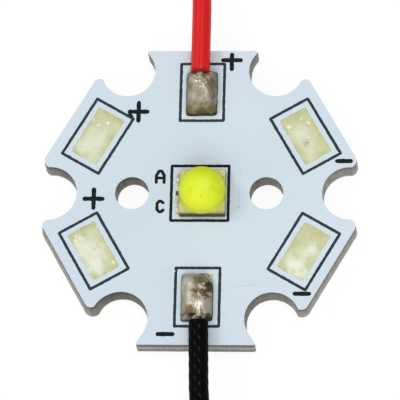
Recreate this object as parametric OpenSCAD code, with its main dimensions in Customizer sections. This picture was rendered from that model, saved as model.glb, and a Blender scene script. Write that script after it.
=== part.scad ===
// Power LED on a star-shaped metal-core board, with a red and a black lead.
// Millimetres. The origin is the middle of the board's underside, +Z is up,
// +Y points to the positive lead's pad and +X to the right of the package's marks.

/* [Board outline] */
// Distance across the four routed side flats
across_flats = 20; // [19:0.1:22]
// How much nearer to the centre the two scored flats lie
score_trim = 0.1; // [0.05:0.05:0.3]
// Shift of both scored flats towards the negative lead
score_shift = 0.1; // [0:0.05:0.2]
// Depth of the score groove at each face of the base
score_depth = 0.3; // [0.1:0.05:0.6]
// Width that a score groove takes off the edge
score_width = 0.08; // [0.02:0.01:0.2]
// Radius of the six screw notches
notch_r = 1.75; // [1.5:0.05:2]
// How much narrower than its round each side of a notch's mouth is
mouth_relief = 0.03; // [0.02:0.01:0.1]
// How far the notch centres lie inside the side flats' distance
notch_inset = 0.3; // [0.1:0.05:0.6]
// Corner radius of the four side arms
corner_r = 0.5; // [0.2:0.05:0.7]
// Corner radius of the two scored arms
scored_corner_r = 0.1; // [0.05:0.05:0.3]
// Diameter of the two round holes
hole_d = 2.2; // [1.5:0.1:2.6]
// Distance between the centres of the two holes
hole_spacing = 8.7; // [8.4:0.1:9.2]

/* [Board layers] */
// Thickness of the aluminium base
base_t = 1.45; // [0.9:0.05:2.4]
// Thickness of the dielectric
dielectric_t = 0.075; // [0.05:0.025:0.15]
// Thickness of the copper
copper_t = 0.05; // [0.035:0.005:0.105]
// Thickness of the solder mask over the copper
mask_t = 0.025; // [0.015:0.005:0.05]
// Thickness of the print
print_t = 0.015; // [0.01:0.005:0.03]

/* [Copper] */
// Distance from the copper to the edges of the board, notches and holes
copper_edge = 0.5; // [0.4:0.05:0.7]
// Gap between two pieces of copper
copper_gap = 0.3; // [0.2:0.05:0.4]
// How far the copper runs on past a window in the mask
window_lap = 0.12; // [0.05:0.01:0.2]
// Length of the heat land's copper beyond the package
heat_reach = 0.9; // [0.3:0.1:1.1]

/* [Pads] */
// Width of the two lead pads
lead_pad_w = 2; // [1.6:0.1:2.4]
// Length of the two lead pads, towards the centre
lead_pad_l = 3.1; // [2.6:0.1:3.4]
// Distance from a lead pad to the side flats' distance
lead_pad_inset = 1.53; // [1.2:0.01:1.8]
// Depth of the four side pads, towards the centre
side_pad_w = 1.95; // [1.6:0.05:2.2]
// Length of the four side pads, along the flat
side_pad_l = 3.5; // [3:0.1:3.8]
// Distance from a side pad to its flat
side_pad_inset = 1.23; // [1:0.01:1.6]
// Distance from a pad's edge to the middle of its printed frame
frame_gap = 0.4; // [0.25:0.05:0.5]
// Width of the printed lines
frame_line = 0.14; // [0.1:0.01:0.2]
// Height of the tin coat on a side pad
tin_h = 0.07; // [0.04:0.01:0.12]

/* [LED package] */
// Side of the square ceramic carrier
carrier_w = 3.04; // [2.8:0.02:3.3]
// Thickness of the carrier
carrier_t = 0.55; // [0.4:0.05:0.7]
// Shift of the package from the centre of its printed frame
led_shift = 0.2; // [0:0.05:0.3]
// Side of the square that the printed frame follows
led_frame_w = 3.7; // [3.6:0.05:4]
// Radius of the dome
dome_r = 1.5; // [1.2:0.02:1.51]
// Height of the straight skirt under the dome
dome_skirt = 0.3; // [0.1:0.05:0.5]
// Thickness of the metal on the carrier
metal_t = 0.02; // [0.01:0.005:0.04]
// Thickness of the solder under the package
led_solder_t = 0.05; // [0.03:0.01:0.08]
// Distance from the carrier's edges to the terminals under it
terminal_inset = 0.12; // [0.05:0.01:0.2]
// Width of the anode and cathode terminals
terminal_w = 0.66; // [0.5:0.02:0.8]
// Distance between neighbouring terminals
terminal_gap = 0.3; // [0.22:0.02:0.4]
// Distance from the two electrical lands to the printed frame's line
land_clear = 0.14; // [0.08:0.02:0.2]
// Diameter of the plated vias in the carrier
via_d = 0.2; // [0.1:0.02:0.3]
// Side of the square chip
chip_w = 1; // [0.7:0.05:1.2]
// Thickness of the chip
chip_t = 0.12; // [0.1:0.01:0.2]
// Margin of metal round the chip
die_margin = 0.1; // [0.05:0.01:0.12]
// Diameter of the bond wire
bond_d = 0.05; // [0.03:0.005:0.08]

/* [Leads] */
// Outer diameter of a lead
lead_d = 1.25; // [1:0.05:1.3]
// Diameter of the tinned conductor
conductor_d = 0.5; // [0.4:0.05:0.55]
// Height of a lead's solder joint over its pad
joint_h = 0.95; // [0.8:0.05:1.2]
// Radius of the solder joint's upper ends
joint_end_r = 0.6; // [0.3:0.05:0.7]
// Length of the conductor inside the solder joint
conductor_in = 2.3; // [1.5:0.1:2.6]
// Distance from a solder joint to the end of its lead's insulation
strip_gap = 0.03; // [0:0.01:0.2]
// Length of the bare conductor at a lead's far end
tip_l = 3; // [2:0.5:5]

/* [Coils] */
// Diameter of a coil at the middle of its turns
coil_d = 15; // [12.5:0.5:15]
// Distance from the side flats' distance to the middle of a coil's nearest turns
coil_run = 8.2; // [7.8:0.1:8.6]
// Thickness of the tie's strip
tie_t = 0.15; // [0.1:0.05:0.3]
// Gap between the tie and the turns
tie_gap = 0.05; // [0.02:0.01:0.1]
// Length of the tie along the coil
tie_l = 2.4; // [1.5:0.1:4]

/* [Hidden] */
$fn = 64;
half_flats = across_flats / 2;
notch_at = half_flats - notch_inset;
mouth_half = notch_r - mouth_relief;
hole_r = hole_d / 2;
arm_step = 60;
first_arm = 30;
top_arm = 1;
bottom_arm = 4;
arc_step = 15;
shallow_fn = 720;
spare = 1;

// Levels from the underside up
copper_z = base_t + dielectric_t;
pad_z = copper_z + copper_t;
mask_z = pad_z + mask_t;
terminal_z = pad_z + led_solder_t;
carrier_z = terminal_z + metal_t;
die_z = carrier_z + carrier_t;
chip_z = die_z + metal_t;

// Pads as [distance from the centre, direction, depth towards the centre, length along the flat]
lead_pad_at = half_flats - lead_pad_inset - lead_pad_l / 2;
side_pad_at = half_flats - side_pad_inset - side_pad_w / 2;
top_pad = [lead_pad_at, 90, lead_pad_l, lead_pad_w];
bottom_pad = [lead_pad_at, 270, lead_pad_l, lead_pad_w];
upper_right_pad = [side_pad_at, 30, side_pad_w, side_pad_l];
upper_left_pad = [side_pad_at, 150, side_pad_w, side_pad_l];
lower_left_pad = [side_pad_at, 210, side_pad_w, side_pad_l];
lower_right_pad = [side_pad_at, 330, side_pad_w, side_pad_l];
pads = [top_pad, bottom_pad, upper_right_pad, upper_left_pad, lower_left_pad, lower_right_pad];

// Lands and terminals in the package's own frame, as [x from, x to, y from, y to]
half_carrier = carrier_w / 2;
terminal_left = terminal_inset - half_carrier;
terminal_right = terminal_left + terminal_w;
heat_left = terminal_right + terminal_gap;
terminal_low = terminal_gap / 2;
terminal_high = half_carrier - terminal_inset;
anode_terminal = [terminal_left, terminal_right, terminal_low, terminal_high];
cathode_terminal = [terminal_left, terminal_right, -terminal_high, -terminal_low];
heat_terminal = [heat_left, half_carrier - terminal_inset, -terminal_high, terminal_high];
land_left = land_clear + frame_line / 2 - led_frame_w / 2 - led_shift;
land_reach = -half_carrier - land_left;
anode_land = [land_left, terminal_right, terminal_low, terminal_high];
cathode_land = [land_left, terminal_right, -terminal_high, -terminal_low];

// Top metal: the wire's land over the anode via, the chip's land and its tab over the cathode via
via_x = (terminal_left + terminal_right) / 2;
via_y = terminal_high / 2;
tab_w = 2 * via_d;
die_half = chip_w / 2 + die_margin;

// Bond wire: from the chip's upper left to the anode via
bond_from = [-chip_w / 3, chip_w / 4];
bond_run = [via_x, via_y] - bond_from;
bond_half = norm(bond_run) / 2;
bond_r = norm([bond_half, chip_t / 2]);
bond_tilt = atan2(chip_t / 2, bond_half);
bond_lap = chip_t / 2 / bond_r * 180 / PI;

// The line between the two sides of the copper runs through two opposite notches
split_angle = 60;

// Steps of each lead from its solder joint to its coil, as [x, distance past the flat, rise]
lead_z = mask_z + lead_d / 2;
lead_from = strip_gap - lead_pad_inset;
red_steps = [
    [-0.12, lead_from, 0], [-0.12, 0.8, 0], [-0.12, 3, -0.02], [-0.34, 4.7, -0.07], [-1.1, 6.4, -0.12]
];
black_steps = [
    [0.16, lead_from, 0], [0.23, 0.8, 0], [0.3, 3, -0.02], [0.52, 4.7, -0.07], [1.28, 6.4, -0.12]
];
red_route = [for (s = red_steps) [s[0], half_flats + s[1], lead_z + s[2]]];
black_route = [for (s = black_steps) [s[0], -half_flats - s[1], lead_z + s[2]]];

// Coils, and the tails that leave them on the outer lower turn, as [distance back, drop]
tube_sides = 8;
coil_r = coil_d / 2;
coil_z = tie_t + tie_gap;
tie_angle = tie_l / coil_r * 180 / PI;
coil_out = half_flats + coil_r + coil_run;
red_coil_at = [0.7, coil_out];
black_coil_at = [-0.5, -coil_out];
tail_x = coil_r + lead_d / 2;
tail_z = coil_z + lead_d / 2;
tail_steps = [[4.9, 0.025], [5.9, 0.105], [7, 0.175]];
red_tail_route = [for (s = tail_steps) [red_coil_at[0] + tail_x, red_coil_at[1] - s[0], tail_z - s[1]]];
black_tail_route = [for (s = tail_steps) [black_coil_at[0] - tail_x, black_coil_at[1] + s[0], tail_z - s[1]]];

// Outline of the board

function arm_angle(k) = first_arm + arm_step * k;
function is_scored(k) = k == top_arm || k == bottom_arm;
function flat_at(k) =
    half_flats - (is_scored(k) ? score_trim : 0)
    + (k == bottom_arm ? score_shift : 0) - (k == top_arm ? score_shift : 0);
function turned(p, a) = [p[0] * cos(a) - p[1] * sin(a), p[0] * sin(a) + p[1] * cos(a)];

// Rounded corner between a flat and the notch on its left, in the arm's own frame
function corner(flat, r) = let (
        u = flat - r,
        v = (u * sin(arm_step / 2) - mouth_half - r) / cos(arm_step / 2)
    ) [for (a = [0 : arc_step : 2 * arm_step]) [u + r * cos(a), v + r * sin(a)]];

// Where the notch's mouth starts on its round
function mouth_foot() = [
    notch_at * cos(arm_step / 2) + mouth_half * sin(arm_step / 2),
    notch_at * sin(arm_step / 2) - mouth_half * cos(arm_step / 2)
];
function arm_half(k, web) = concat(
    corner(flat_at(k) + (is_scored(k) ? web : 0), is_scored(k) ? scored_corner_r : corner_r),
    [mouth_foot()]
);
function flipped(points) = [for (i = [len(points) - 1 : -1 : 0]) [points[i][0], -points[i][1]]];
function star_points(web) = [
    for (k = [0 : 5])
        for (p = concat(flipped(arm_half(k, web)), arm_half(k, web))) turned(p, arm_angle(k))
];

module at_notches() {
    for (k = [0 : 5]) rotate(arm_step * k) translate([notch_at, 0]) children();
}

module at_holes() {
    for (side = [-1, 1]) translate([side * hole_spacing / 2, 0]) children();
}

module star(web = 0) {
    difference() {
        polygon(star_points(web));
        at_notches() circle(notch_r);
        at_holes() circle(hole_r);
    }
}

// Groove cutter along a scored flat, pointing down from the level z
module score_groove(k) {
    slope = score_width / score_depth;
    flat = flat_at(k);
    rotate(arm_angle(k))
        rotate([90, 0, 0])
            linear_extrude(across_flats, center = true)
                polygon([
                    [flat - slope * spare, spare],
                    [flat + score_width + slope * spare / 4, -score_depth - spare / 4],
                    [flat + score_width + spare, -score_depth - spare / 4],
                    [flat + score_width + spare, spare]
                ]);
}

// Shapes of the copper, mask and print

module span(box, lap = 0) {
    translate([box[0] - lap, box[2] - lap])
        square([box[1] - box[0] + 2 * lap, box[3] - box[2] + 2 * lap]);
}

module at_led() {
    translate([led_shift, 0]) children();
}

module at_pad(pad) {
    rotate(pad[1]) translate([pad[0], 0]) children();
}

module pad_window(pad) {
    at_pad(pad) square([pad[2], pad[3]], center = true);
}

module copper_field() {
    difference() {
        circle((half_flats - copper_edge) / cos(arm_step / 2), $fn = 6);
        at_notches() circle(notch_r + copper_edge);
        at_holes() circle(hole_r + copper_edge);
    }
}

// One side of the split line, away from it by half a copper gap
module split_side(side) {
    rotate(split_angle)
        translate([-across_flats, side > 0 ? copper_gap / 2 : -across_flats - copper_gap / 2])
            square([2 * across_flats, across_flats]);
}

module heat_zone(lap) {
    span([terminal_right + window_lap / 2 + copper_gap - terminal_gap / 2, half_carrier + heat_reach,
          -terminal_high - window_lap, terminal_high + window_lap], lap);
}

// Strip of copper that brings the negative side to the cathode land
module cathode_strip(lap) {
    span([land_left - window_lap, terminal_right, -2 * half_carrier - 2 * land_reach, -terminal_low], lap);
}

module anode_shape() {
    difference() {
        union() {
            intersection() {
                copper_field();
                split_side(1);
            }
            at_led() span(anode_land);
        }
        at_led() cathode_strip(copper_gap);
        at_led() heat_zone(copper_gap);
    }
}

module cathode_shape() {
    difference() {
        union() {
            intersection() {
                copper_field();
                split_side(-1);
            }
            at_led() cathode_strip(0);
        }
        at_led() heat_zone(copper_gap / 2);
    }
}

module windows() {
    for (pad = pads) pad_window(pad);
    at_led() {
        span(anode_land);
        span(cathode_land);
        span(heat_terminal);
    }
}

module frame_line_of(w, l) {
    difference() {
        square([w + frame_line, l + frame_line], center = true);
        square([w - frame_line, l - frame_line], center = true);
    }
}

module printed(z = mask_z) {
    translate([0, 0, z]) linear_extrude(print_t) children();
}

module pad_frame(pad) {
    color([0.09, 0.12, 0.13])
        printed()
            at_pad(pad) frame_line_of(pad[2] + 2 * frame_gap, pad[3] + 2 * frame_gap);
}

// Pieces of the board

module aluminium_base() {
    color([0.55, 0.54, 0.5])
        difference() {
            linear_extrude(base_t) star(score_width);
            for (k = [top_arm, bottom_arm]) {
                translate([0, 0, base_t]) score_groove(k);
                mirror([0, 0, 1]) score_groove(k);
            }
        }
}

module dielectric_layer() {
    color([0.35, 0.34, 0.28])
        translate([0, 0, base_t]) linear_extrude(dielectric_t) star();
}

module copper_layer() {
    color([0.72, 0.45, 0.2])
        translate([0, 0, copper_z]) linear_extrude(copper_t) children();
}

module anode_copper() {
    copper_layer() anode_shape();
}

module cathode_copper() {
    copper_layer() cathode_shape();
}

module heat_copper() {
    copper_layer() at_led() heat_zone(0);
}

module solder_mask() {
    color([0.8, 0.87, 0.91])
        union() {
            translate([0, 0, copper_z])
                linear_extrude(copper_t)
                    difference() {
                        star();
                        anode_shape();
                        cathode_shape();
                        at_led() heat_zone(0);
                    }
            translate([0, 0, pad_z])
                linear_extrude(mask_t)
                    difference() {
                        star();
                        windows();
                    }
        }
}

module led_frame() {
    color([0.09, 0.12, 0.13]) printed() frame_line_of(led_frame_w, led_frame_w);
}

// Shallow pillow of metal: two crossed round caps over a level base
module pillow(w, l, h) {
    rise = 1.15 * h;
    across = (w * w / 4 + h * h) / (2 * h);
    along = (l * l / 4 + rise * rise) / (2 * rise);
    intersection() {
        translate([0, 0, h - across])
            rotate([90, 0, 0]) cylinder(h = l + spare, r = across, center = true, $fn = shallow_fn);
        translate([0, 0, rise - along])
            rotate([0, 90, 0]) cylinder(h = w + spare, r = along, center = true, $fn = shallow_fn);
        translate([-w, -l, 0]) cube([2 * w, 2 * l, 2 * h]);
    }
}

module pad_tin(pad) {
    color([0.86, 0.87, 0.74])
        translate([0, 0, pad_z]) at_pad(pad) pillow(pad[2], pad[3], tin_h);
}

// Pieces of the LED package

module under_led(box, z, t) {
    translate([0, 0, z]) at_led() linear_extrude(t) span(box);
}

module via(y) {
    translate([led_shift + via_x, y, carrier_z]) cylinder(h = carrier_t, d = via_d, $fn = 32);
}

module led_carrier() {
    color([0.84, 0.8, 0.64])
        difference() {
            translate([led_shift - half_carrier, -half_carrier, carrier_z])
                cube([carrier_w, carrier_w, carrier_t]);
            for (side = [-1, 1])
                translate([led_shift + via_x, side * via_y, carrier_z - spare])
                    cylinder(h = carrier_t + 2 * spare, d = via_d, $fn = 32);
        }
}

module anode_top() {
    at_led() translate([via_x, via_y]) square(tab_w, center = true);
}

module cathode_top() {
    at_led() {
        square(2 * die_half, center = true);
        span([via_x - tab_w / 2, 0, -via_y - tab_w / 2, -via_y + tab_w / 2]);
    }
}

module led_cathode() {
    color([0.86, 0.72, 0.42])
        union() {
            under_led(cathode_terminal, terminal_z, metal_t);
            via(-via_y);
            translate([0, 0, die_z]) linear_extrude(metal_t) cathode_top();
        }
}

module led_heat_terminal() {
    color([0.86, 0.72, 0.42]) under_led(heat_terminal, terminal_z, metal_t);
}

module led_chip() {
    color([0.85, 0.83, 0.35])
        translate([led_shift - chip_w / 2, -chip_w / 2, chip_z]) cube([chip_w, chip_w, chip_t]);
}

// The whole loop of wire, its ends running on into what it is bonded to
module bond_loop() {
    middle = bond_from + bond_run / 2;
    translate([led_shift + middle[0], middle[1], chip_z + chip_t / 2])
        rotate([90, 0, atan2(bond_run[1], bond_run[0])])
            rotate(-bond_tilt - bond_lap)
                rotate_extrude(angle = 180 + 2 * bond_lap)
                    translate([bond_r, 0]) circle(d = bond_d, $fn = 24);
}

module anode_metal() {
    under_led(anode_terminal, terminal_z, metal_t);
    via(via_y);
    translate([0, 0, die_z]) linear_extrude(metal_t) anode_top();
}

// Terminal, via and land with the bond wire that is welded to the land
module led_anode() {
    color([0.86, 0.72, 0.42])
        union() {
            anode_metal();
            difference() {
                bond_loop();
                led_chip();
                anode_metal();
                led_carrier();
            }
        }
}

module led_dome() {
    color([0.86, 0.94, 0.2])
        difference() {
            translate([led_shift, 0, die_z]) {
                cylinder(h = dome_skirt, r = dome_r);
                translate([0, 0, dome_skirt])
                    difference() {
                        sphere(dome_r);
                        translate([-2 * dome_r, -2 * dome_r, -4 * dome_r]) cube(4 * dome_r);
                    }
            }
            led_chip();
            led_anode();
            led_cathode();
        }
}

module anode_solder() {
    color([0.84, 0.83, 0.68]) under_led(anode_land, pad_z, led_solder_t);
}

module cathode_solder() {
    color([0.84, 0.83, 0.68]) under_led(cathode_land, pad_z, led_solder_t);
}

module heat_solder() {
    color([0.84, 0.83, 0.68]) under_led(heat_terminal, pad_z, led_solder_t);
}

// Leads and their solder joints

function unit(v) = v / norm(v);
function heading(route, i) = unit(route[min(i + 1, len(route) - 1)] - route[max(i - 1, 0)]);

module along(v) {
    rotate([0, acos(v[2]), atan2(v[1], v[0])]) children();
}

// The conductor in a joint, from its lead's first point inwards
module conductor(route) {
    translate(route[0]) along(-heading(route, 0)) cylinder(h = conductor_in, d = conductor_d, $fn = 32);
}

// Side view of a joint: level on top, round at both upper ends
function joint_side(l, h, r) = concat(
    [[-l / 2, 0], [l / 2, 0]],
    [for (a = [0 : arc_step : 90]) [l / 2 - r + r * cos(a), h - r + r * sin(a)]],
    [for (a = [90 : arc_step : 180]) [-l / 2 + r + r * cos(a), h - r + r * sin(a)]]
);

module solder_joint(pad, route) {
    w = pad[3];
    round_r = (w * w / 4 + joint_h * joint_h) / (2 * joint_h);
    color([0.6, 0.58, 0.5])
        difference() {
            translate([0, 0, pad_z])
                at_pad(pad)
                    intersection() {
                        translate([0, 0, joint_h - round_r])
                            rotate([0, 90, 0]) cylinder(h = pad[2] + spare, r = round_r, center = true);
                        rotate([90, 0, 0])
                            linear_extrude(w + spare, center = true)
                                polygon(joint_side(pad[2], joint_h * 1.04, joint_end_r));
                    }
            conductor(route);
        }
}

module tinned(route) {
    color([0.75, 0.74, 0.7]) conductor(route);
}

// One ring of points round a point of a route
function ring(at, along, r) = let (
        side = unit(cross(along, [0, 0, 1])),
        up = cross(side, along)
    ) [
        for (k = [0 : tube_sides - 1])
            let (a = 360 * (k + 0.5) / tube_sides) at + r * (cos(a) * side + sin(a) * up)
    ];

module tube(route, d) {
    n = len(route);
    rings = [for (i = [0 : n - 1]) each ring(route[i], heading(route, i), d / 2)];
    sides = [
        for (i = [0 : n - 2], k = [0 : tube_sides - 1])
            let (a = i * tube_sides + k, b = i * tube_sides + (k + 1) % tube_sides)
                each [[a, b, a + tube_sides], [b, b + tube_sides, a + tube_sides]]
    ];
    near = [[for (k = [tube_sides - 1 : -1 : 0]) k]];
    far = [[for (k = [0 : tube_sides - 1]) (n - 1) * tube_sides + k]];
    polyhedron(rings, concat(sides, near, far));
}

// Outline of two turns on two turns, about the middle of the bundle
function bundle(grow) = let (r = lead_d / 2, h = lead_d / 2) [
    for (corner = [0 : 3]) for (a = [0 : 2 * arc_step : 90])
        let (q = 90 * corner + a, m = turned([h, h], 90 * corner))
            [m[0] + (r + grow) * cos(q), m[1] + (r + grow) * sin(q)]
];

module at_coil(at) {
    translate([at[0], at[1], coil_z + lead_d]) children();
}

module coil(at) {
    at_coil(at) rotate_extrude() translate([coil_r, 0]) polygon(bundle(0));
}

// Strip round the bundle on the side of the coil that lies farthest from the board
module tie(at) {
    at_coil(at)
        rotate(90 * sign(at[1]) - tie_angle / 2)
            rotate_extrude(angle = tie_angle)
                translate([coil_r, 0])
                    difference() {
                        polygon(bundle(tie_gap + tie_t));
                        polygon(bundle(tie_gap));
                    }
}

// Bare end that runs on from the last point of a tail
module tip(route) {
    last = len(route) - 1;
    color([0.75, 0.74, 0.7])
        translate(route[last]) along(heading(route, last)) cylinder(h = tip_l, d = conductor_d, $fn = 32);
}

module red() {
    color([0.84, 0.1, 0.11]) children();
}

module black() {
    color([0.05, 0.05, 0.08]) children();
}

module tie_white() {
    color([0.9, 0.9, 0.88]) children();
}

aluminium_base();
dielectric_layer();
anode_copper();
cathode_copper();
heat_copper();
solder_mask();
pad_frame(top_pad);  // top_pad_frame
pad_frame(bottom_pad);  // bottom_pad_frame
pad_frame(upper_right_pad);  // upper_right_pad_frame
pad_frame(upper_left_pad);  // upper_left_pad_frame
pad_frame(lower_left_pad);  // lower_left_pad_frame
pad_frame(lower_right_pad);  // lower_right_pad_frame
led_frame();
pad_tin(upper_right_pad);  // upper_right_pad_tin
pad_tin(upper_left_pad);  // upper_left_pad_tin
pad_tin(lower_left_pad);  // lower_left_pad_tin
pad_tin(lower_right_pad);  // lower_right_pad_tin
led_carrier();
led_anode();
led_cathode();
led_heat_terminal();
led_chip();
led_dome();
anode_solder();
cathode_solder();
heat_solder();
solder_joint(top_pad, red_route);  // red_solder_joint
tinned(red_route);  // red_conductor
red() tube(red_route, lead_d);  // red_lead
red() coil(red_coil_at);  // red_coil
tie_white() tie(red_coil_at);  // red_tie
red() tube(red_tail_route, lead_d);  // red_tail
tip(red_tail_route);  // red_tip
solder_joint(bottom_pad, black_route);  // black_solder_joint
tinned(black_route);  // black_conductor
black() tube(black_route, lead_d);  // black_lead
black() coil(black_coil_at);  // black_coil
tie_white() tie(black_coil_at);  // black_tie
black() tube(black_tail_route, lead_d);  // black_tail
tip(black_tail_route);  // black_tip
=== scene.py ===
"""Looks for a power LED on a star-shaped metal-core board with a red and a black lead.

Shapes are worked out in millimetres in the frame of the CAD part: the origin is the middle of the
board's underside, +Z is up and +Y points to the positive lead's pad. Meshes are stored in metres.
"""
import math

import bmesh
import bpy
import numpy as np
from mathutils import Matrix, Vector, noise
from mathutils.geometry import delaunay_2d_cdt

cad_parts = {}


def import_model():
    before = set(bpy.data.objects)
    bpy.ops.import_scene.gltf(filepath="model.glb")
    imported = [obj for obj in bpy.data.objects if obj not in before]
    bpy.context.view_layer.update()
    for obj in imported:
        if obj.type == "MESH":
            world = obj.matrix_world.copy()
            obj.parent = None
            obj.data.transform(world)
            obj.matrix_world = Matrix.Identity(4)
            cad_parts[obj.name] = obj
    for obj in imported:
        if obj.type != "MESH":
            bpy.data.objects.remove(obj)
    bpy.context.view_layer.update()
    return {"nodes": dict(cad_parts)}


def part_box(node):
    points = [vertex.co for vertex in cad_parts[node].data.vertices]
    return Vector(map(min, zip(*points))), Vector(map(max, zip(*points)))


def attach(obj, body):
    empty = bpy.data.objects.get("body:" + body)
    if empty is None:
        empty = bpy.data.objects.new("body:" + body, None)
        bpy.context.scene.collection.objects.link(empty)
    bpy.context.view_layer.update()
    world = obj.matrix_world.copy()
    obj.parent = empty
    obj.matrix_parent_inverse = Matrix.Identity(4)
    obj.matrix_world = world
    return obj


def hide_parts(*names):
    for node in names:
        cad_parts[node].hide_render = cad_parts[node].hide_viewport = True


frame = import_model()

MM = 0.001

# Sizes of the part, in millimetres
FLATS = {0: 9.96, 1: 9.8, 2: 9.96, 3: 10.0, 4: 10.11, 5: 9.93}
SCORED = (1, 4)
SCORE_DEPTH = 0.3
SCORE_WIDTH = 0.08
NOTCH_R = 1.75
NOTCH_AT = 9.7
MOUTH_HALF = 1.72
CORNER_R = 0.5
SCORED_CORNER_R = 0.1
# Radius and half the mouth's width where a corner differs, by arm and side
CORNERS = {(0, 1): (0.43, 1.72), (2, -1): (0.43, 1.65), (5, -1): (0.5, 1.64)}
# How far the wall of an arm leans in towards the top
LEANS = {3: 0.11}
HOLE_R = 1.08
HOLE_X = 4.35
OUTLINE_X = -0.055
BASE_T = 1.45
COPPER_Z = 1.525
PAD_Z = 1.575
MASK_Z = 1.6
LED_X = 0.2
LED_Y = -0.05
CARRIER_HALF = 1.487
CARRIER_Z = 1.61
CARRIER_DRAFT = 0.07
DIE_Z = 2.195
DOME_R = 1.5
DOME_SKIRT = 0.3
LEAD_R = 0.625
LEAD_Z = 2.225
COIL_R = 7.5
COIL_OUT = 25.7
BUNDLE_Z = 1.45
END_ROUND = 0.09

# Pads as (distance from the centre, direction, depth towards the centre, length along the flat)
PADS = {"top": (6.92, 90, 3.1, 2.0), "bottom": (6.955, 270, 3.03, 2.0)}
SIDE_PADS = {"upper_right": 30, "upper_left": 150, "lower_left": 210, "lower_right": 330}
PADS.update((name, (7.795, angle, 1.95, 3.5)) for name, angle in SIDE_PADS.items())
TINNED_PADS = {**PADS, "top": (6.835, 90, 2.93, 2.0)}
FRAME_GAP = 0.415
FRAME_CORNER = 0.035
LED_FRAME_HALF = 1.85
LAND_LEFT, LAND_RIGHT, LAND_HALF = -1.56, 1.6, 1.4
LINE_W = 0.2
SIGN_W = 0.3

# On the bare pads: pale patches (x, y, inner and outer radius, share), bright flecks of painted glint (x,
# y, radius), dark scars
PALE = (
    (-6.85, 3.65, 0.2, 1.1, 0.55), (-7.65, 3.15, 0.2, 0.85, 0.6), (-7.0, 2.5, 0.1, 0.7, 0.45),
    (6.45, 3.95, 0.1, 0.9, 0.5), (7.1, 3.1, 0.1, 0.9, 0.35), (7.1, 2.45, 0.1, 0.6, 0.3),
    (-7.0, -4.1, 0.4, 1.1, 0.7), (-6.5, -4.9, 0.2, 0.8, 0.85), (-7.75, -3.35, 0.1, 0.6, 0.75),
    (-6.9, -3.2, 0.1, 0.8, 0.35), (6.2, -4.95, 0.1, 0.9, 0.9), (6.85, -4.1, 0.1, 0.8, 0.55),
    (7.22, -3.55, 0.1, 0.65, 0.75), (5.65, -4.35, 0.1, 0.6, 0.35), (6.6, -5.35, 0.1, 0.6, 0.35))
TIN_GLINTS = (
    (-6.71, 4.66, 0.09), (-6.12, 4.77, 0.09), (-7.02, 5.08, 0.06), (5.68, 4.52, 0.12), (6.96, 4.81, 0.09),
    (6.45, 5.07, 0.08), (-7.91, -3.24, 0.13), (-7.96, -2.91, 0.09), (-5.43, -4.65, 0.09))
SCARS = ((6.8, 3.42, 0.1, 0.32), (-6.73, -3.78, 0.0, 0.2))

# Number and lay of the strands that show through the black lead
BLACK_RIDGE = (7, -5.25)


def shade(value):
    """Linear colour from a grey level or from 0 to 255 values. A node's output passes through."""
    def linear(c):
        c /= 255
        return c / 12.92 if c <= 0.04045 else ((c + 0.055) / 1.055) ** 2.4

    if isinstance(value, tuple):
        return (*map(linear, value), 1.0)
    return (value, value, value, 1.0) if isinstance(value, float) else value


def wave(seed, *at):
    """Smooth noise from -1 to 1 at a point, the same on each run."""
    x, y, z = (*at, 0.0, 0.0)[:3]
    return noise.noise(Vector((x + 17.3 * seed, y - 9.1 * seed, z + 3.7 * seed)))


def polar(degrees):
    """Cosine and sine."""
    a = math.radians(degrees)
    return math.cos(a), math.sin(a)


def circle(n):
    """Cosines and sines of n even steps round a circle."""
    return [polar(360 * k / n) for k in range(n)]


def turned(x, y, degrees):
    c, s = polar(degrees)
    return x * c - y * s, x * s + y * c


def smoothstep(low, high, x):
    t = min(max((x - low) / (high - low), 0.0), 1.0)
    return t * t * (3 - 2 * t)


# Pieces


def placed(name, data):
    obj = bpy.data.objects.new(name, data)
    bpy.context.collection.objects.link(obj)
    return obj


def piece(name, verts, faces, mats, nodes=(), sharp=40, uvs=None, parts=None):
    """A mesh from millimetres that rides on the board and may stand for CAD nodes."""
    mesh = bpy.data.meshes.new(name)
    mesh.from_pydata([tuple(c * MM for c in v) for v in verts], [], faces)
    if uvs is not None:
        layer = mesh.uv_layers.new(name="along")
        for loop in mesh.loops:
            layer.data[loop.index].uv = uvs[loop.vertex_index]
    for mat in mats:
        mesh.materials.append(mat)
    if parts is not None:
        mesh.polygons.foreach_set("material_index", parts)
    bm = bmesh.new()
    bm.from_mesh(mesh)
    bmesh.ops.recalc_face_normals(bm, faces=bm.faces)
    bm.to_mesh(mesh)
    bm.free()
    mesh.shade_smooth()
    mesh.set_sharp_from_angle(angle=math.radians(sharp))
    mesh.update()
    obj = placed(name, mesh)
    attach(obj, "root")
    if nodes:
        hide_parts(*nodes)
    return obj


def dress(mat, *nodes):
    """Gives CAD nodes that keep their shape a better material."""
    for name in nodes:
        mesh = frame["nodes"][name].data
        mesh.materials.clear()
        mesh.materials.append(mat)


def grid_faces(rows, cols, closed=False, start=0, ring=False):
    """Quads over a grid of vertices stored row by row from a given one on.

    closed joins its last column to the first, ring its last row."""
    faces = []
    for r in range(rows if ring else rows - 1):
        one, two = start + r * cols, start + (r + 1) % rows * cols
        for c in range(cols if closed else cols - 1):
            d = (c + 1) % cols
            faces.append((one + c, one + d, two + d, two + c))
    return faces


def spread(rows, cols):
    """Places from -1 to 1 along the columns and rows of a grid, row by row."""
    return [(2 * c / (cols - 1) - 1, 2 * r / (rows - 1) - 1) for r in range(rows) for c in range(cols)]


def capped_tube(rows, cols, start=0):
    """Faces of a closed grid and of its two ends."""
    ends = [tuple(range(r, r + cols)) for r in (start, start + (rows - 1) * cols)]
    return grid_faces(rows, cols, True, start) + ends


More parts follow.
